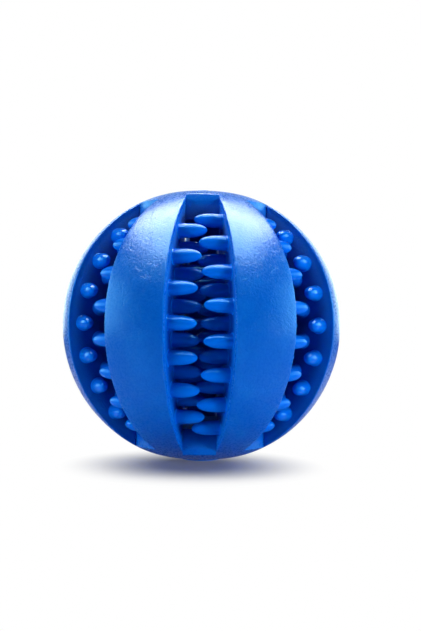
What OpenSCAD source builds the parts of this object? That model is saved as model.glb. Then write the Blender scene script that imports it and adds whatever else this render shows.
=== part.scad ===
// Treat dispensing ball: seven rubber ribs stand between two pole caps round an open treat chamber.
// Rubber nubs on both walls of each slot hold the treats back and clean the dog's teeth.
// The origin is the centre of the face that the ball rests on, and +Z is the axis through both poles.
// The slot that faces the viewer opens towards -Y.

/* [Ball] */
// Diameter of the ball across the ribs at the equator
ball_d = 70; // [62:0.5:90]
// How far the arc that shapes a rib's outside is set off the axis, which widens the ball a little
arc_offset = 0.7; // [0:0.1:2]
// Diameter of the flat that ends the dome of a pole cap
pole_flat_d = 8; // [2:0.5:14]
// Height of a pole cap's dome, from the end of the slots to its flat
cap_rise = 3.45; // [2:0.05:6]
// Diameter of the small moulding pad on the top pole
top_pad_d = 4.6; // [2:0.1:12]
// How far the moulding pad stands out of the top pole
top_pad_h = 0.8; // [0.2:0.1:1.5]
// Diameter of the flat pad that the ball rests on
rest_pad_d = 10; // [6:0.5:20]
// How far the rest pad stands out of the bottom pole
rest_pad_h = 0.4; // [0.2:0.1:1.5]

/* [Ribs and caps] */
// Angle that each slot opens round the ball, in degrees
slot_angle = 26.5; // [20:0.5:34]
// Diameter of the treat chamber, where the ribs end and the pole caps begin
chamber_d = 34.6; // [28:0.2:40]
// Height of the straight side of a pole cap that shows at the end of each slot
cap_side_h = 5.3; // [3:0.1:8]
// Thickness of a pole cap at the pole
cap_wall = 5.6; // [3.5:0.1:8]
// Width of the flat land round the hollow underside of a pole cap
cap_land = 1.6; // [0.8:0.1:4]

/* [Nubs] */
// Diameter of a nub where it leaves the wall of a rib
nub_root_d = 3.6; // [2.4:0.1:4.2]
// Diameter of a nub at its shoulder, where it starts to narrow
nub_shoulder_d = 3.3; // [2:0.1:4]
// Diameter of the round tip of a nub
nub_tip_d = 2; // [1:0.1:3]
// Length of a nub from the wall to its tip
nub_len = 6.6; // [5:0.1:7.2]
// Length of a nub from the wall to its shoulder
nub_shoulder_len = 4; // [1.5:0.1:4.4]
// Angle by which the nubs lean inwards from the line straight across their rib
nub_lean = 8; // [0:0.5:12]
// Depth of the outer row of nubs under the surface of the ball
outer_row_depth = 3.8; // [3:0.1:5]
// Distance from one row of nubs to the next row inwards
row_step = 3.85; // [3.4:0.05:4.5]

/* [Hidden] */
rib_count = 7;
rib_numbers = [1:rib_count];
// Angles between neighbouring nubs of the outer, middle and inner row, in degrees of latitude
row_pitches = [14.4, 15.8, 15.4];
// Nubs in the outer, middle and inner row of a wall that has a nub on the equator
centred_counts = [7, 6, 5];
// The same for a wall whose outer nubs stand beside the equator, so that facing nubs interlock
staggered_counts = [8, 5, 4];
slot_pitch = 360 / rib_count;
rib_angle = slot_pitch - slot_angle;
arc_r = ball_d / 2 - arc_offset;
chamber_r = chamber_d / 2;
slot_end_z = sqrt(pow(arc_r, 2) - pow(chamber_r - arc_offset, 2));
pole_z = slot_end_z + cap_rise;
cap_reach = chamber_r - pole_flat_d / 2;
cap_arc_r = (pow(cap_reach, 2) + pow(cap_rise, 2)) / (2 * cap_rise);
cap_edge_z = slot_end_z - cap_side_h;
dome_r = chamber_r - cap_land;
dome_rise = pole_z - cap_wall - cap_edge_z;
dome_sphere_r = (pow(dome_r, 2) + pow(dome_rise, 2)) / (2 * dome_rise);
centre_z = pole_z + rest_pad_h;
front = -90;
rubber = [0.02, 0.33, 0.80];
nub_rubber = [0.04, 0.38, 0.88];
$fn = 96;

// The outline outside the treat chamber, which a rib or a slot fills: an arc set a little off the axis
module rib_outline() {
    difference() {
        translate([arc_offset, 0]) circle(r = arc_r);
        translate([-ball_d, -ball_d]) square([ball_d + chamber_r, 2 * ball_d]);
    }
}

// The dome of a pole cap beside the axis: an arc that goes on from the ribs and ends in a flat
module cap_dome() {
    intersection() {
        union() {
            translate([pole_flat_d / 2, pole_z - cap_arc_r]) circle(r = cap_arc_r);
            translate([0, cap_edge_z]) square([pole_flat_d / 2, pole_z - cap_edge_z]);
        }
        translate([0, slot_end_z]) square([ball_d, ball_d]);
    }
}

// Half of a pole cap's outline, with its pad, its straight side and its hollow underside
module cap_outline(pad_d, pad_h) {
    difference() {
        union() {
            cap_dome();
            translate([0, cap_edge_z]) square([chamber_r, cap_side_h]);
            translate([0, cap_edge_z]) square([pad_d / 2, pole_z + pad_h - cap_edge_z]);
        }
        translate([0, cap_edge_z + dome_rise - dome_sphere_r]) circle(r = dome_sphere_r);
    }
}

// A slice of the ball outside the chamber, turned so that its middle is at the angle middle
module slice(middle, width) {
    rotate([0, 0, front + middle - width / 2]) rotate_extrude(angle = width) rib_outline();
}

// One nub, which lies along +Y with its wall at zero and its root a little way into the rib
module nub() {
    rotate([-90, 0, 0]) {
        translate([0, 0, -nub_root_d / 2]) cylinder(h = nub_root_d / 2, d = nub_root_d);
        cylinder(h = nub_shoulder_len, d1 = nub_root_d, d2 = nub_shoulder_d);
        translate([0, 0, nub_shoulder_len])
            cylinder(h = nub_len - nub_tip_d / 2 - nub_shoulder_len, d1 = nub_shoulder_d, d2 = nub_tip_d);
        translate([0, 0, nub_len - nub_tip_d / 2]) sphere(d = nub_tip_d);
    }
}

// The rows of nubs on the wall that a rib turns to higher angles; the rib's middle lies along +X
module nub_rows(counts) {
    for (row = [0:2]) {
        radius = ball_d / 2 - outer_row_depth - row * row_step;
        for (n = [0:counts[row] - 1]) {
            latitude = (n - (counts[row] - 1) / 2) * row_pitches[row];
            out = radius * cos(latitude);
            up = radius * sin(latitude);
            translate([out * cos(rib_angle / 2), out * sin(rib_angle / 2), up])
                rotate([0, 0, nub_lean]) nub();
        }
    }
}

// Lifts what is drawn round the ball's centre, so that the ball stands on the origin
module raised() {
    translate([0, 0, centre_z]) children();
}

function rib_middle(i) = (i - 1 / 2) * slot_pitch;
function left_counts(i) = i == 1 || i > (rib_count + 1) / 2 ? staggered_counts : centred_counts;
function right_counts(i) = i < (rib_count + 1) / 2 ? staggered_counts : centred_counts;

module top_cap() {
    color(rubber) raised() rotate_extrude() cap_outline(top_pad_d, top_pad_h);
}

module bottom_cap() {
    color(rubber) raised() mirror([0, 0, 1]) rotate_extrude() cap_outline(rest_pad_d, rest_pad_h);
}

module rib(i) {
    color(rubber) raised() slice(rib_middle(i), rib_angle);
}

// Nubs on the side of a rib that faces the slot before it, cut where they meet the wall
module left_nubs(i) {
    color(nub_rubber) raised() intersection() {
        slice(rib_middle(i) - slot_pitch / 2, slot_angle);
        rotate([0, 0, front + rib_middle(i)]) mirror([0, 1, 0]) nub_rows(left_counts(i));
    }
}

// Nubs on the side of a rib that faces the slot after it
module right_nubs(i) {
    color(nub_rubber) raised() intersection() {
        slice(rib_middle(i) + slot_pitch / 2, slot_angle);
        rotate([0, 0, front + rib_middle(i)]) nub_rows(right_counts(i));
    }
}

top_cap();
bottom_cap();
for (i = rib_numbers) {
    rib(i);
    left_nubs(i);
    right_nubs(i);
}
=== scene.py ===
import math
import random

import bmesh
import bpy
from bpy.props import FloatProperty, FloatVectorProperty, IntProperty, PointerProperty
from mathutils import Matrix, Vector, noise


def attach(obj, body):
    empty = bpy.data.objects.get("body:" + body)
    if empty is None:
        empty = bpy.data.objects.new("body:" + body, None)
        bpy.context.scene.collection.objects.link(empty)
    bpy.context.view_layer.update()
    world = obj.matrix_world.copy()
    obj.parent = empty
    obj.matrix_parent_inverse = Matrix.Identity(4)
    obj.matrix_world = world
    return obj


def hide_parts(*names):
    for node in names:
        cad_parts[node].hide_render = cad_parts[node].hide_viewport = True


bl_info = {
    "name": "Treat dispensing ball",
    "version": (1, 0, 0),
    "blender": (4, 5, 0),
    "location": "View3D > Sidebar > Treat Ball",
    "description": "Dresses the treat ball's frame in moulded rubber and lights it in a plain studio",
    "category": "Object",
}

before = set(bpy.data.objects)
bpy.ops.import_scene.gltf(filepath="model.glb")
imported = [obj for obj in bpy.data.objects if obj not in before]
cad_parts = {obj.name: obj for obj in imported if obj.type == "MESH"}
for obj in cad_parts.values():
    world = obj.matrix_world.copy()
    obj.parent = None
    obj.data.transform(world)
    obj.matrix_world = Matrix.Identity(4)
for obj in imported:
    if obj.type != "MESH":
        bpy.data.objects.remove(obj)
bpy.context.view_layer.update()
RIB_COUNT = 7
MM = 0.001


# Sizes and colours that a user may change

class BallSizes(bpy.types.PropertyGroup):
    """Sizes of the ribs and caps"""
    ball_width: FloatProperty(
        name="Ball width", description="Width across the ribs at the equator",
        default=70 * MM, unit="LENGTH")
    arc_offset: FloatProperty(
        name="Arc offset", description="How far the arc of a rib's outside is set off the axis",
        default=0.7 * MM, unit="LENGTH")
    pole_flat: FloatProperty(
        name="Pole flat", description="Width of the flat that ends the dome of a cap",
        default=8 * MM, unit="LENGTH")
    cap_rise: FloatProperty(
        name="Cap rise", description="Height of a cap's dome over the ends of the slots",
        default=3.45 * MM, unit="LENGTH")
    slot_angle: FloatProperty(
        name="Slot angle", description="Angle that a slot opens round the ball",
        default=math.radians(26.5), subtype="ANGLE")
    chamber_width: FloatProperty(
        name="Chamber width", description="Width of the treat chamber",
        default=34.6 * MM, unit="LENGTH")
    cap_side: FloatProperty(
        name="Cap side", description="Height of the straight side of a pole cap",
        default=5.3 * MM, unit="LENGTH")
    cap_wall: FloatProperty(
        name="Cap wall", description="Thickness of a cap at the pole",
        default=5.6 * MM, unit="LENGTH")
    cap_land: FloatProperty(
        name="Cap land", description="Width of the flat land round a cap's hollow underside",
        default=1.6 * MM, unit="LENGTH")
    top_pad_width: FloatProperty(
        name="Top pad width", description="Width of the moulding pad on the top pole",
        default=4.6 * MM, unit="LENGTH")
    top_pad_height: FloatProperty(
        name="Top pad height", description="How far the moulding pad stands proud",
        default=0.8 * MM, unit="LENGTH")
    rest_pad_width: FloatProperty(
        name="Rest pad width", description="Width of the flat pad that the ball rests on",
        default=10 * MM, unit="LENGTH")
    rest_pad_height: FloatProperty(
        name="Rest pad height", description="How far the rest pad stands proud",
        default=0.4 * MM, unit="LENGTH")
    edge_radius: FloatProperty(
        name="Edge radius", description="Rounding of the edges of a rib's two walls",
        default=0.5 * MM, unit="LENGTH")
    lip_height: FloatProperty(
        name="Lip height", description="Height of the lip at both ends of the front slot",
        default=1.1 * MM, unit="LENGTH")
    lip_rounding: FloatProperty(
        name="Lip rounding", description="Rounding of the lip's upper edge",
        default=1 * MM, unit="LENGTH")
    pad_rounding: FloatProperty(
        name="Pad rounding", description="Rounding of the upper edge of a pad",
        default=0.15 * MM, unit="LENGTH")
    dent_depth: FloatProperty(
        name="Dent depth", description="How far the soft rubber sinks in its broad dents",
        default=0.12 * MM, unit="LENGTH")
    dent_spacing: FloatProperty(
        name="Dent spacing", description="About how far the broad dents lie apart",
        default=11 * MM, unit="LENGTH")


class NubSizes(bpy.types.PropertyGroup):
    """Sizes and rows of the nubs"""
    root_width: FloatProperty(
        name="Root width", description="Width of a nub at the wall",
        default=3.45 * MM, unit="LENGTH")
    length: FloatProperty(
        name="Length", description="Length from the wall to the tip",
        default=6.75 * MM, unit="LENGTH")
    lean: FloatProperty(
        name="Lean", description="How far the nubs lean inwards from straight across their rib",
        default=math.radians(8), subtype="ANGLE")
    fillet: FloatProperty(
        name="Fillet", description="Rounding between a nub and its wall",
        default=0.3 * MM, unit="LENGTH")
    outer_depth: FloatProperty(
        name="Outer row depth", description="Depth of the outer row under the surface",
        default=3.8 * MM, unit="LENGTH")
    row_step: FloatProperty(
        name="Row step", description="Distance from one row to the next row inwards",
        default=3.85 * MM, unit="LENGTH")
    seed: IntProperty(
        name="Seed", description="Draws the small differences between moulded nubs",
        default=7)


class BallColours(bpy.types.PropertyGroup):
    """Colours of the rubber and the floor"""
    rubber: FloatVectorProperty(
        name="Rubber", description="Blue of the ribs and caps",
        subtype="COLOR", size=4, default=(0, 0.115, 0.62, 1))
    rubbed: FloatVectorProperty(
        name="Rubbed rubber", description="Slightly chalky blue where the rubber is scuffed",
        subtype="COLOR", size=4, default=(0.002, 0.145, 0.68, 1))
    # The walls' deeper blue is painted shade of the slots and the chamber
    walls: FloatVectorProperty(
        name="Walls", description="Deeper blue of the rubber in the slots and the chamber",
        subtype="COLOR", size=4, default=(0, 0.035, 0.33, 1))
    # The outer nubs' lighter blue is painted light, and the deeper blue of the nubs further in is painted
    # shade
    nubs: FloatVectorProperty(
        name="Nub rubber", description="Blue of the outer nubs",
        subtype="COLOR", size=4, default=(0, 0.15, 0.8, 1))
    painted_shade_nubs: FloatVectorProperty(
        name="Inner nubs", description="Deeper blue of the nubs further in",
        subtype="COLOR", size=4, default=(0, 0.065, 0.48, 1))
    floor: FloatVectorProperty(
        name="Floor", description="Plain pale floor",
        subtype="COLOR", size=4, default=(0.78, 0.78, 0.79, 1))


class StageSettings(bpy.types.PropertyGroup):
    """Where the camera stands and how the ball leans in its view"""
    lens: FloatProperty(name="Lens", description="Focal length in millimetres", default=50)
    distance: FloatProperty(
        name="Distance", description="From the camera to the ball's centre",
        default=223.6 * MM, unit="LENGTH")
    beside: FloatProperty(
        name="Beside", description="How far the camera stands to the right of the ball's middle",
        default=2.25 * MM, unit="LENGTH")
    above: FloatProperty(
        name="Above", description="How far the camera stands over the ball's middle",
        default=2.46 * MM, unit="LENGTH")
    lean_back: FloatProperty(
        name="Lean back", description="How far the ball leans away from the camera",
        default=math.radians(1.5), subtype="ANGLE")
    lean_right: FloatProperty(
        name="Lean right", description="How far the ball leans to the camera's right",
        default=math.radians(0.72), subtype="ANGLE")


class Measures:
    """Lengths and angles that several pieces share, worked out from the user's sizes"""

    def __init__(self, sizes):
        self.arc_radius = sizes.ball_width / 2 - sizes.arc_offset
        self.arc_middle = sizes.arc_offset
        self.chamber_radius = sizes.chamber_width / 2
        self.slot_pitch = 2 * math.pi / RIB_COUNT
        self.slot_angle = sizes.slot_angle
        self.rib_angle = self.slot_pitch - sizes.slot_angle
        self.end_angle = math.acos((self.chamber_radius - self.arc_middle) / self.arc_radius)
        self.slot_end = self.arc_radius * math.sin(self.end_angle)
        self.pole = self.slot_end + sizes.cap_rise
        self.cap_edge = self.slot_end - sizes.cap_side
        self.flat_radius = sizes.pole_flat / 2
        reach = self.chamber_radius - self.flat_radius
        self.cap_arc = (reach ** 2 + sizes.cap_rise ** 2) / (2 * sizes.cap_rise)
        self.cap_turn = math.asin(reach / self.cap_arc)
        self.centre = Vector((0, 0, self.pole + sizes.rest_pad_height))

    def rib_middle(self, number):
        """Angle of a rib's middle round the axis from +X, when the front slot faces -Y"""
        return (number - 0.5) * self.slot_pitch - math.pi / 2

    def rib_start(self, number):
        """Angle of a rib's first wall round the axis from +X"""
        return self.rib_middle(number) - self.rib_angle / 2


# Steps of the round shapes
MERIDIAN_STEPS = 132
POLE_STEPS = 32
UNDERSIDE_STEPS = 16
RIB_STEPS = 10
SLOT_STEPS = 12
RIM_STEP = math.radians(0.1)
SIDE_STEPS = 12
EDGE_STEPS = 4
PAD_EDGE_STEPS = 3
NUB_SIDES = 24
FILLET_STEPS = 4
NOSE_STEPS = 16

# Places closer than this are merged, or count as the same
MERGE = 0.002 * MM
SAME = 0.02 * MM

SHARP = math.radians(32)
Y_AXIS = Vector((0, 1, 0))
Z_AXIS = Vector((0, 0, 1))


# Helpers for meshes

def turn_z(angle):
    """A turn round the ball's axis"""
    return Matrix.Rotation(angle, 3, "Z")


def chain(bm, first, places):
    """Adds edges from a vertex through further places and returns the last vertex"""
    for place in places:
        second = bm.verts.new(place)
        bm.edges.new((first, second))
        first = second
    return first


def spin(bm, geom, centre, axis, angle, steps, merge=False):
    """Spins geometry and returns the last copy"""
    result = bmesh.ops.spin(
        bm, geom=geom, cent=centre, axis=axis, dvec=(0, 0, 0), angle=angle, steps=steps,
        use_merge=merge, use_normal_flip=False, use_duplicate=False)
    return result["geom_last"]


def round_edges(bm, edges, radius, steps):
    """Rounds edges with a quarter round"""
    bmesh.ops.bevel(
        bm, geom=edges, offset=radius, offset_type="OFFSET", segments=steps, profile=0.5,
        affect="EDGES", clamp_overlap=True, material=-1, loop_slide=True)


def sink_dents(bm, sizes, measures):
    """Sinks broad shallow dents into soft rubber, only ever towards the ball's centre"""
    for vert in bm.verts:
        depth = sizes.dent_depth * (1 - noise.noise(vert.co / sizes.dent_spacing)) / 2
        vert.co -= (vert.co - measures.centre).normalized() * depth


def finish_piece(bm, node, material):
    """Makes a piece of a bmesh; it rides on the ball and stands for one CAD node"""
    bmesh.ops.remove_doubles(bm, verts=bm.verts, dist=MERGE)
    bmesh.ops.recalc_face_normals(bm, faces=bm.faces)
    name = f"{node}_rubber"
    mesh = bpy.data.meshes.new(name)
    bm.to_mesh(mesh)
    bm.free()
    mesh.polygons.foreach_set("use_smooth", [True] * len(mesh.polygons))
    mesh.set_sharp_from_angle(angle=SHARP)
    mesh.materials.append(material)
    piece = bpy.data.objects.new(name, mesh)
    bpy.context.scene.collection.objects.link(piece)
    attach(piece, "root")
    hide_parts(node)


# Helpers for materials

class Nodes:
    """Fills the node tree of a material or a world"""

    def __init__(self, owner):
        owner.use_nodes = True
        self.tree = owner.node_tree
        self.tree.nodes.clear()

    def feed(self, value, socket):
        """Links a node's output to a socket, or sets a plain value on it"""
        if isinstance(value, bpy.types.NodeSocket):
            self.tree.links.new(value, socket)
        else:
            socket.default_value = value

    def add(self, kind, values=None, **settings):
        """Adds a node with its settings, and feeds its sockets by their names or numbers"""
        node = self.tree.nodes.new(kind)
        for name, setting in settings.items():
            setattr(node, name, setting)
        for key, value in (values or {}).items():
            self.feed(value, node.inputs[key])
        return node

    def object_place(self):
        """Where a point is on the object"""
        return self.add("ShaderNodeTexCoord").outputs["Object"]

    def noise(self, place, scale, detail, roughness, distortion=0):
        """A cloudy pattern between 0 and 1"""
        values = {
            "Vector": place, "Scale": scale, "Detail": detail, "Roughness": roughness,
            "Distortion": distortion}
        return self.add("ShaderNodeTexNoise", values).outputs["Fac"]

    def ramp(self, value, low, high, at_low=0, at_high=1, interpolation="SMOOTHSTEP"):
        """Turns a value's way from low to high into another pair of values"""
        values = {
            "Value": value, "From Min": low, "From Max": high, "To Min": at_low, "To Max": at_high}
        node = self.add("ShaderNodeMapRange", values, clamp=True, interpolation_type=interpolation)
        return node.outputs["Result"]

    def math(self, operation, first, second=0):
        """One sum with two values"""
        return self.add("ShaderNodeMath", {0: first, 1: second}, operation=operation).outputs[0]

    def vector_math(self, operation, first, second=(0, 0, 0)):
        """The outputs of one sum with two vectors"""
        return self.add("ShaderNodeVectorMath", {0: first, 1: second}, operation=operation).outputs

    def mix(self, share, first, second):
        """Mixes two colours by the second one's share"""
        values = {"Factor": share, "A": first, "B": second}
        return self.add("ShaderNodeMix", values, data_type="RGBA").outputs["Result"]

    def blend(self, share, first, second):
        """Blends what two shader nodes give by the second one's share"""
        values = {0: share, 1: first.outputs[0], 2: second.outputs[0]}
        return self.add("ShaderNodeMixShader", values).outputs["Shader"]

    def bump(self, height, depth, strength, after=None):
        """The normal of a pattern in relief, on top of another one's"""
        node = self.add("ShaderNodeBump", {"Height": height, "Distance": depth, "Strength": strength})
        if after is not None:
            self.feed(after, node.inputs["Normal"])
        return node.outputs["Normal"]


def material_named(name):
    """The material of a name, which is added if there is none"""
    return bpy.data.materials.get(name) or bpy.data.materials.new(name)


# Rubber

# Scale, detail, roughness and distortion of each noise
GRAIN_NOISE = (1900, 3, 0.6)
MOTTLE_NOISE = (90, 3, 0.55)
SCUFF_NOISE = (420, 4, 0.6, 1.4)
NUB_GRAIN_NOISE = (1900, 2, 0.5)
NUB_MOTTLE_NOISE = (240, 2, 0.5)

# Levels of a noise between which what it draws sets in
WEAR_FROM_TO = (0.45, 0.72)
SATIN_FROM_TO = (0.35, 0.65)
SCUFFS_FROM_TO = (0.52, 0.6)
SCUFFED_PATCHES_FROM_TO = (0.4, 0.6)
NUB_GLOSS_FROM_TO = (0.3, 0.7)

# Depth and strength of each relief
SCUFF_RELIEF = (0.04 * MM, 0.6)
GRAIN_RELIEF = (0.075 * MM, 0.9)
NUB_RELIEF = (0.015 * MM, 0.35)

# Heights in the ball at which the skin, the slots' painted daylight and the outer nubs' painted light
# begin and are full; below them the walls and the inner nubs get a painted shade
SKIN_FROM_TO = (33.3 * MM, 34.3 * MM)
DAYLIGHT_FROM_TO = (30.5 * MM, 34.6 * MM)
OUTER_NUBS_FROM_TO = (27.5 * MM, 31 * MM)
DOME_STRETCH = (1, 1, 1.03)

SATIN_ROUGHNESS = (0.2, 0.4)
SLOT_ROUGHNESS_ADDED = 0.5
NUB_ROUGHNESS = (0.13, 0.22)
SKIN_COAT = 0.15
SHEEN_TINT = (0.04, 0.45, 0.63, 1)


def rubber_shader(nodes, values):
    """Adds the shader that all the rubber shares, with the values that differ"""
    shared = {
        "Specular Tint": SHEEN_TINT,
        "Subsurface Weight": 0.2,
        "Subsurface Radius": (0.1, 0.5, 1.0),
        "Subsurface Scale": 1.5 * MM,
    }
    shader = nodes.add("ShaderNodeBsdfPrincipled", shared | values)
    nodes.add("ShaderNodeOutputMaterial", {"Surface": shader.outputs["BSDF"]})


def height_in_ball(nodes, place, measures):
    """Distance from the ball's centre, stretched so that the flatter domes count as outside"""
    offset = nodes.vector_math("SUBTRACT", place, measures.centre)["Vector"]
    stretched = nodes.vector_math("MULTIPLY", offset, DOME_STRETCH)["Vector"]
    return nodes.vector_math("LENGTH", stretched)["Value"]


def body_rubber(colours, measures):
    """Rubber of the ribs and caps: satin and finely grained outside, matt in the slots, where a deeper
    blue paints their shade
    """
    material = material_named("rubber_body")
    nodes = Nodes(material)
    place = nodes.object_place()
    height = height_in_ball(nodes, place, measures)
    skin = nodes.ramp(height, *SKIN_FROM_TO)
    daylight = nodes.ramp(height, *DAYLIGHT_FROM_TO)
    grain = nodes.noise(place, *GRAIN_NOISE)
    mottle = nodes.noise(place, *MOTTLE_NOISE)
    scuffs = nodes.noise(place, *SCUFF_NOISE)

    outside = nodes.mix(nodes.ramp(mottle, *WEAR_FROM_TO), colours.rubber, colours.rubbed)
    satin = nodes.ramp(grain, *SATIN_FROM_TO, *SATIN_ROUGHNESS)
    matt = nodes.ramp(skin, 0, 1, SLOT_ROUGHNESS_ADDED, 0)
    patches = nodes.ramp(mottle, *SCUFFED_PATCHES_FROM_TO)
    scuffed = nodes.math("MULTIPLY", nodes.ramp(scuffs, *SCUFFS_FROM_TO), patches)
    scuff_normal = nodes.bump(nodes.math("SUBTRACT", 1, scuffed), *SCUFF_RELIEF)
    normal = nodes.bump(grain, *GRAIN_RELIEF, after=scuff_normal)
    rubber_shader(nodes, {
        # Below the painted daylight the walls' deeper blue is painted shade of the slots and the chamber
        "Base Color": nodes.mix(daylight, colours.walls, outside),
        "Roughness": nodes.math("ADD", satin, matt),
        "IOR": 1.42,
        "Normal": normal,
        "Coat Weight": nodes.ramp(skin, 0, 1, 0, SKIN_COAT),
        "Coat Roughness": 0.15,
        "Coat Normal": normal,
    })
    return material


def nub_rubber(colours, measures):
    """Rubber of the nubs: glossier than the ribs, because the mould's pins are polished"""
    material = material_named("rubber_nubs")
    nodes = Nodes(material)
    place = nodes.object_place()
    outer = nodes.ramp(height_in_ball(nodes, place, measures), *OUTER_NUBS_FROM_TO)
    mottle = nodes.noise(place, *NUB_MOTTLE_NOISE)
    grain = nodes.noise(place, *NUB_GRAIN_NOISE)
    rubber_shader(nodes, {
        # Lighter blue on the outer nubs is painted light, and deeper blue further in is painted shade
        "Base Color": nodes.mix(outer, colours.painted_shade_nubs, colours.nubs),
        "Roughness": nodes.ramp(mottle, *NUB_GLOSS_FROM_TO, *NUB_ROUGHNESS),
        "IOR": 1.33,
        "Normal": nodes.bump(grain, *NUB_RELIEF),
    })
    return material


# Ribs

def rib_section(bm, measures):
    """Adds a rib's outline beside the axis as one face: the ball's arc and the chamber's wall"""
    start = measures.centre + Vector((measures.chamber_radius, 0, -measures.slot_end))
    arc_centre = measures.centre + Vector((measures.arc_middle, 0, 0))
    spin(bm, [bm.verts.new(start)], arc_centre, -Y_AXIS, 2 * measures.end_angle, MERIDIAN_STEPS)
    bm.verts.ensure_lookup_table()
    bm.faces.new(bm.verts)


def wall_edges(bm):
    """Edges of a rib's two flat walls, which are its only faces with more than four corners"""
    return [edge for edge in bm.edges if any(len(face.verts) > 4 for face in edge.link_faces)]


def make_rib(number, sizes, measures, material):
    """One rib: the outline turned round the axis, with rounded edges and soft dents"""
    bm = bmesh.new()
    rib_section(bm, measures)
    bmesh.ops.rotate(bm, verts=bm.verts, cent=(0, 0, 0), matrix=turn_z(measures.rib_start(number)))
    section = bm.verts[:] + bm.edges[:] + bm.faces[:]
    spin(bm, section, (0, 0, 0), Z_AXIS, measures.rib_angle, RIB_STEPS)
    bmesh.ops.recalc_face_normals(bm, faces=bm.faces)
    round_edges(bm, wall_edges(bm), sizes.edge_radius, EDGE_STEPS)
    sink_dents(bm, sizes, measures)
    finish_piece(bm, f"rib_{number}", material)


# Pole caps

def cap_outline(bm, sizes, measures, pad_width, pad_height):
    """Adds a top cap's outline from the pole over the rim to the hollow underside"""
    def place(out, up):
        return measures.centre + Vector((out, 0, up))

    # A pad that is wider than the pole's flat ends on the dome's arc
    pad_radius = pad_width / 2
    pad_top = measures.pole + pad_height
    start = max(0.0, math.asin((pad_radius - measures.flat_radius) / measures.cap_arc))
    pad_foot = measures.pole - measures.cap_arc * (1 - math.cos(start))
    corners = [place(pad_radius, pad_top), place(pad_radius, pad_foot)]
    if pad_radius < measures.flat_radius:
        corners.append(place(measures.flat_radius, measures.pole))
    arc_start = chain(bm, bm.verts.new(place(0, pad_top)), corners)
    arc_centre = place(measures.flat_radius, measures.pole - measures.cap_arc)
    arc_end = spin(bm, [arc_start], arc_centre, Y_AXIS, measures.cap_turn - start, POLE_STEPS)
    rim = next(item for item in arc_end if isinstance(item, bmesh.types.BMVert))

    land_radius = measures.chamber_radius - sizes.cap_land
    side = [
        place(measures.chamber_radius, measures.slot_end - sizes.cap_side * step / SIDE_STEPS)
        for step in range(1, SIDE_STEPS + 1)]
    land = chain(bm, rim, side + [place(land_radius, measures.cap_edge)])
    rise = measures.pole - sizes.cap_wall - measures.cap_edge
    sphere = (land_radius ** 2 + rise ** 2) / (2 * rise)
    sphere_centre = place(0, measures.cap_edge + rise - sphere)
    spin(bm, [land], sphere_centre, -Y_AXIS, math.asin(land_radius / sphere), UNDERSIDE_STEPS)


def raise_gate_lip(bm, sizes, measures):
    """Raises a top cap's rim to the low level lip that the mould's gate left at the front slot"""
    level = measures.slot_end + sizes.lip_height
    rounding = sizes.lip_rounding
    corner = Vector((measures.chamber_radius - rounding, level - rounding))
    for vert in bm.verts:
        place = vert.co - measures.centre
        if abs(math.atan2(place.x, -place.y)) > (measures.slot_angle + RIM_STEP) / 2:
            continue
        out, up = place.xy.length, place.z
        if measures.slot_end - SAME < up < level and out > measures.flat_radius:
            up = level
        across = Vector((out, up)) - corner
        if min(across) > 0 and across.length > rounding:
            out, up = corner + across.normalized() * rounding
        vert.co.xy *= out / max(place.xy.length, MERGE)
        vert.co.z = measures.centre.z + up


def pad_edges(bm, measures, pad_radius, pad_height):
    """Upper edges of the pad on the pole"""
    def on_edge(vert):
        place = vert.co - measures.centre
        off_height = place.z - measures.pole - pad_height
        return abs(place.xy.length - pad_radius) < SAME and abs(off_height) < SAME

    return [edge for edge in bm.edges if all(on_edge(vert) for vert in edge.verts)]


def make_cap(end, pad_width, pad_height, sizes, measures, material):
    """The cap at one end of the ball: its outline turned round the axis, rib by rib and slot by slot"""
    bm = bmesh.new()
    cap_outline(bm, sizes, measures, pad_width, pad_height)
    bmesh.ops.rotate(bm, verts=bm.verts, cent=(0, 0, 0), matrix=turn_z(measures.rib_start(1)))
    rim_arc = (RIM_STEP, 1)
    rib_arc = (measures.rib_angle - 2 * RIM_STEP, RIB_STEPS)
    slot_arc = (measures.slot_angle, SLOT_STEPS)
    last = bm.verts[:] + bm.edges[:]
    for angle, steps in (rim_arc, rib_arc, rim_arc, slot_arc) * RIB_COUNT:
        last = spin(bm, last, (0, 0, 0), Z_AXIS, angle, steps)
    bmesh.ops.remove_doubles(bm, verts=bm.verts, dist=MERGE)
    raise_gate_lip(bm, sizes, measures)
    bmesh.ops.recalc_face_normals(bm, faces=bm.faces)
    edges = pad_edges(bm, measures, pad_width / 2, pad_height)
    round_edges(bm, edges, sizes.pad_rounding, PAD_EDGE_STEPS)
    if end == "bottom":
        bmesh.ops.scale(
            bm, vec=(1, 1, -1), verts=bm.verts, space=Matrix.Translation(-measures.centre))
    sink_dents(bm, sizes, measures)
    finish_piece(bm, f"{end}_cap", material)


# Nubs

# Degrees between the nubs of the outer, middle and inner row, and how many nubs each row holds
ROW_PITCHES = (14.4, 15.8, 15.4)
CENTRED_COUNTS = (7, 6, 5)
STAGGERED_COUNTS = (8, 5, 4)

# How far a nub may turn, and what share of its length it may lack
NUB_TURN_JITTER = math.radians(1.1)
NUB_LENGTH_JITTER = 0.03

# A nub narrows towards its tip as (1 - way ** first) ** second
NOSE_POWERS = (3.0, 0.5)


def nub_counts(number, side):
    """How many nubs the outer, middle and inner row of a rib's left or right wall hold"""
    half = (RIB_COUNT + 1) / 2
    if side == "left":
        return STAGGERED_COUNTS if number == 1 or number > half else CENTRED_COUNTS
    return STAGGERED_COUNTS if number < half else CENTRED_COUNTS


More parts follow.
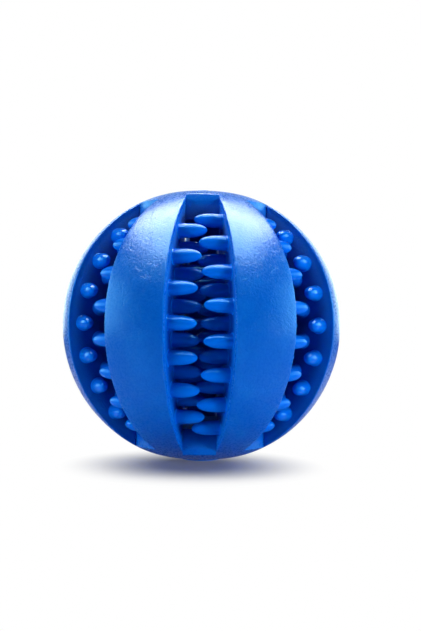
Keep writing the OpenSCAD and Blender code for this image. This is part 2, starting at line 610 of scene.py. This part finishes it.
def nub_outline(nubs):
    """Half of a nub's outline from its flared root to its tip: distances off its axis and along it"""
    root = nubs.root_width / 2
    yield 0, -nubs.fillet
    yield root + nubs.fillet, -nubs.fillet
    for step in range(FILLET_STEPS + 1):
        turn = step / FILLET_STEPS * math.pi / 2
        yield root + nubs.fillet * (1 - math.sin(turn)), nubs.fillet * (1 - math.cos(turn))
    body = nubs.length - nubs.fillet
    for step in range(1, NOSE_STEPS):
        along = body * math.sin(step / NOSE_STEPS * math.pi / 2)
        yield root * (1 - (along / body) ** NOSE_POWERS[0]) ** NOSE_POWERS[1], nubs.fillet + along
    yield 0, nubs.length


def nub_mesh(nubs, measures):
    """One nub along +Y, with its root on the wall, which slants to the nub's axis"""
    bm = bmesh.new()
    start, *places = [(out, along, 0) for out, along in nub_outline(nubs)]
    chain(bm, bm.verts.new(start), places)
    outline = bm.verts[:] + bm.edges[:]
    spin(bm, outline, (0, 0, 0), Y_AXIS, 2 * math.pi, NUB_SIDES, merge=True)
    bmesh.ops.remove_doubles(bm, verts=bm.verts, dist=MERGE)
    # The root's slant fades out by the middle of the nub
    slant = math.tan(measures.rib_angle / 2 - nubs.lean)
    for vert in bm.verts:
        share = max(0.0, 1 - 2 * max(vert.co.y, 0.0) / nubs.length)
        vert.co.y += vert.co.x * slant * share
    mesh = bpy.data.meshes.new("nub")
    bm.to_mesh(mesh)
    bm.free()
    return mesh


def nub_places(nubs, sizes, measures, counts):
    """Where nubs leave the wall of a rib whose middle lies along +X"""
    half = measures.rib_angle / 2
    for row, (count, pitch) in enumerate(zip(counts, ROW_PITCHES)):
        radius = sizes.ball_width / 2 - nubs.outer_depth - row * nubs.row_step
        for index in range(count):
            latitude = math.radians((index - (count - 1) / 2) * pitch)
            out, up = radius * math.cos(latitude), radius * math.sin(latitude)
            yield Vector((out * math.cos(half), out * math.sin(half), up))


def make_nub_bank(number, side, template, nubs, sizes, measures, material, draws):
    """All the nubs on one wall of a rib, each a little different as soft mouldings are"""
    bm = bmesh.new()
    for place in nub_places(nubs, sizes, measures, nub_counts(number, side)):
        first = len(bm.verts)
        bm.from_mesh(template)
        bm.verts.ensure_lookup_table()
        stretch = 1 - NUB_LENGTH_JITTER * draws.random()
        tilt = draws.uniform(-1, 1) * NUB_TURN_JITTER
        lean = nubs.lean + draws.uniform(-1, 1) * NUB_TURN_JITTER
        turn = Matrix.Rotation(lean, 4, "Z") @ Matrix.Rotation(tilt, 4, "X")
        matrix = Matrix.Translation(place) @ turn @ Matrix.Diagonal((1, stretch, 1, 1))
        bmesh.ops.transform(bm, matrix=matrix, verts=bm.verts[first:])
    if side == "left":
        bmesh.ops.scale(bm, vec=(1, -1, 1), verts=bm.verts)
    bmesh.ops.rotate(bm, verts=bm.verts, cent=(0, 0, 0), matrix=turn_z(measures.rib_middle(number)))
    bmesh.ops.translate(bm, verts=bm.verts, vec=measures.centre)
    finish_piece(bm, f"rib_{number}_{side}_nubs", material)


# Studio

# Each soft box has a name, a place, a width and a height in metres, its watts and its colour.
# The first ones light the ball, and the others are only mirrored in it.
LIT_BOXES = (
    ("top_box", (0, 0, 0.3), 0.15, 0.15, 0.65, (1, 1, 1)),
    ("left_box", (-0.5, -0.25, 0.045), 0.3, 0.1, 1.9, (1, 1, 1)),
    ("right_box", (0.5, -0.25, 0.045), 0.3, 0.1, 2.6, (1, 1, 1)),
)
MIRRORED_BOXES = (
    ("sheen_box", (0, -0.02, 0.8), 1.1, 0.94, 60, (1, 1, 1)),
    ("left_strip", (-0.58, 0.05, 0.08), 0.62, 0.5, 7, (0.35, 0.85, 1)),
    ("right_strip", (0.58, 0.05, 0.08), 0.62, 0.5, 7, (0.35, 0.85, 1)),
)

# The room's colour, its strength by how far back and how far to the side a reflection looks, and
# the share of it that lights the ball
ROOM_COLOUR = (0.8, 1, 1, 1)
ROOM_DEPTH = (0.78, 0.95, 0, 3.6)
ROOM_SIDES = (0.1, 0.35, 0.2, 1)
ROOM_FILL = 0.01

# The floor turns white between these distances from the middle of the ball's shadow
SHADOW_MIDDLE = (-1.5 * MM, -12 * MM, 0)
WHITE_FROM_TO = (6 * MM, 33 * MM)
FLOOR_SIZE = 6
WHITE = (1, 1, 1, 1)
CAMERA_NEAR = 1 * MM


def soft_box(name, place, width, height, power, colour, target):
    """A soft box that looks at a point"""
    light = bpy.data.lights.new(name, "AREA")
    light.shape = "RECTANGLE"
    light.size = width
    light.size_y = height
    light.energy = power
    light.color = colour
    lamp = bpy.data.objects.new(name, light)
    lamp.location = place
    lamp.rotation_euler = (target - Vector(place)).to_track_quat("-Z", "Y").to_euler()
    bpy.context.scene.collection.objects.link(lamp)
    return lamp


def white_room():
    """A world that is white for the camera; reflections see a room, dark in front and pale at the back"""
    world = bpy.data.worlds.new("studio")
    bpy.context.scene.world = world
    nodes = Nodes(world)
    direction = nodes.add("ShaderNodeTexCoord").outputs["Generated"]
    looks = nodes.add("ShaderNodeSeparateXYZ", {"Vector": direction}).outputs
    rays = nodes.add("ShaderNodeLightPath").outputs
    back = nodes.ramp(looks["Y"], *ROOM_DEPTH)
    beside = nodes.ramp(nodes.math("ABSOLUTE", looks["X"]), *ROOM_SIDES, interpolation="LINEAR")
    mirrored = nodes.ramp(rays["Is Glossy Ray"], 0, 1, ROOM_FILL, 1)
    strength = nodes.math("MULTIPLY", nodes.math("MULTIPLY", back, beside), mirrored)
    room = nodes.add("ShaderNodeBackground", {"Color": ROOM_COLOUR, "Strength": strength})
    white = nodes.add("ShaderNodeBackground", {"Color": WHITE, "Strength": 1})
    surface = nodes.blend(rays["Is Camera Ray"], room, white)
    nodes.add("ShaderNodeOutputWorld", {"Surface": surface})


def floor_material(colours):
    """A matt pale floor with the ball's shadow, which turns into the white background round it"""
    material = material_named("floor")
    nodes = Nodes(material)
    distance = nodes.vector_math("DISTANCE", nodes.object_place(), SHADOW_MIDDLE)["Value"]
    rays = nodes.add("ShaderNodeLightPath").outputs
    share = nodes.math("MULTIPLY", rays["Is Camera Ray"], nodes.ramp(distance, *WHITE_FROM_TO))
    matt = nodes.add("ShaderNodeBsdfDiffuse", {"Color": colours.floor})
    white = nodes.add("ShaderNodeEmission", {"Color": WHITE, "Strength": 1})
    nodes.add("ShaderNodeOutputMaterial", {"Surface": nodes.blend(share, matt, white)})
    return material


def make_floor(colours):
    """The plain floor that the ball stands on"""
    bm = bmesh.new()
    bmesh.ops.create_grid(bm, x_segments=1, y_segments=1, size=FLOOR_SIZE / 2)
    mesh = bpy.data.meshes.new("floor")
    bm.to_mesh(mesh)
    bm.free()
    mesh.materials.append(floor_material(colours))
    floor = bpy.data.objects.new("floor", mesh)
    bpy.context.scene.collection.objects.link(floor)


def make_camera(stage, measures):
    """The photograph's camera: it looks along +Y at a ball that leans a little back and to the right"""
    lean = Matrix.Rotation(stage.lean_back, 4, "X") @ Matrix.Rotation(-stage.lean_right, 4, "Y")
    place = Matrix.Translation(Vector((stage.beside, -stage.distance, stage.above)))
    level = Matrix.Rotation(math.pi / 2, 4, "X")
    data = bpy.data.cameras.new("camera")
    data.lens = stage.lens
    data.clip_start = CAMERA_NEAR
    camera = bpy.data.objects.new("camera", data)
    camera.matrix_world = Matrix.Translation(measures.centre) @ lean @ place @ level
    bpy.context.scene.collection.objects.link(camera)
    bpy.context.scene.camera = camera


# Operators and panel

class TREATBALL_OT_ribs(bpy.types.Operator):
    """Adds the seven ribs"""
    bl_idname = "treatball.ribs"
    bl_label = "Add ribs"

    def execute(self, context):
        sizes = context.scene.ball_sizes
        measures = Measures(sizes)
        material = body_rubber(context.scene.ball_colours, measures)
        for number in range(1, RIB_COUNT + 1):
            make_rib(number, sizes, measures, material)
        return {"FINISHED"}


class TREATBALL_OT_caps(bpy.types.Operator):
    """Adds the two pole caps"""
    bl_idname = "treatball.caps"
    bl_label = "Add pole caps"

    def execute(self, context):
        sizes = context.scene.ball_sizes
        measures = Measures(sizes)
        material = body_rubber(context.scene.ball_colours, measures)
        make_cap("top", sizes.top_pad_width, sizes.top_pad_height, sizes, measures, material)
        make_cap("bottom", sizes.rest_pad_width, sizes.rest_pad_height, sizes, measures, material)
        return {"FINISHED"}


class TREATBALL_OT_nubs(bpy.types.Operator):
    """Adds the nubs on both walls of every rib"""
    bl_idname = "treatball.nubs"
    bl_label = "Add nubs"

    def execute(self, context):
        nubs, sizes = context.scene.nub_sizes, context.scene.ball_sizes
        measures = Measures(sizes)
        material = nub_rubber(context.scene.ball_colours, measures)
        template = nub_mesh(nubs, measures)
        draws = random.Random(nubs.seed)
        for number in range(1, RIB_COUNT + 1):
            for side in ("left", "right"):
                make_nub_bank(number, side, template, nubs, sizes, measures, material, draws)
        bpy.data.meshes.remove(template)
        return {"FINISHED"}


class TREATBALL_OT_stage(bpy.types.Operator):
    """Adds the floor, the lamps and the camera"""
    bl_idname = "treatball.stage"
    bl_label = "Add studio"

    def execute(self, context):
        measures = Measures(context.scene.ball_sizes)
        make_floor(context.scene.ball_colours)
        white_room()
        for box in LIT_BOXES:
            soft_box(*box, measures.centre).visible_glossy = False
        for box in MIRRORED_BOXES:
            soft_box(*box, measures.centre).visible_diffuse = False
        make_camera(context.scene.stage_settings, measures)
        return {"FINISHED"}


class TREATBALL_PT_panel(bpy.types.Panel):
    """Lists the treat ball's sizes, colours and operators"""
    bl_idname = "TREATBALL_PT_panel"
    bl_label = "Treat Ball"
    bl_space_type = "VIEW_3D"
    bl_region_type = "UI"
    bl_category = "Treat Ball"

    def draw(self, context):
        for group_name in GROUPS:
            group = getattr(context.scene, group_name)
            box = self.layout.box()
            for name in group.bl_rna.properties.keys():
                if name not in ("rna_type", "name"):
                    box.prop(group, name)
        for operator in OPERATORS:
            self.layout.operator(operator.bl_idname)


GROUPS = {
    "ball_sizes": BallSizes,
    "nub_sizes": NubSizes,
    "ball_colours": BallColours,
    "stage_settings": StageSettings,
}
OPERATORS = (TREATBALL_OT_stage, TREATBALL_OT_ribs, TREATBALL_OT_caps, TREATBALL_OT_nubs)


def register():
    for name, group in GROUPS.items():
        bpy.utils.register_class(group)
        setattr(bpy.types.Scene, name, PointerProperty(type=group))
    for operator in OPERATORS:
        bpy.utils.register_class(operator)
    bpy.utils.register_class(TREATBALL_PT_panel)


def unregister():
    bpy.utils.unregister_class(TREATBALL_PT_panel)
    for operator in reversed(OPERATORS):
        bpy.utils.unregister_class(operator)
    for name, group in GROUPS.items():
        delattr(bpy.types.Scene, name)
        bpy.utils.unregister_class(group)


def main():
    register()
    bpy.context.scene.view_settings.view_transform = "Standard"
    bpy.ops.treatball.stage()
    bpy.ops.treatball.ribs()
    bpy.ops.treatball.caps()
    bpy.ops.treatball.nubs()


if __name__ == "__main__":
    main()
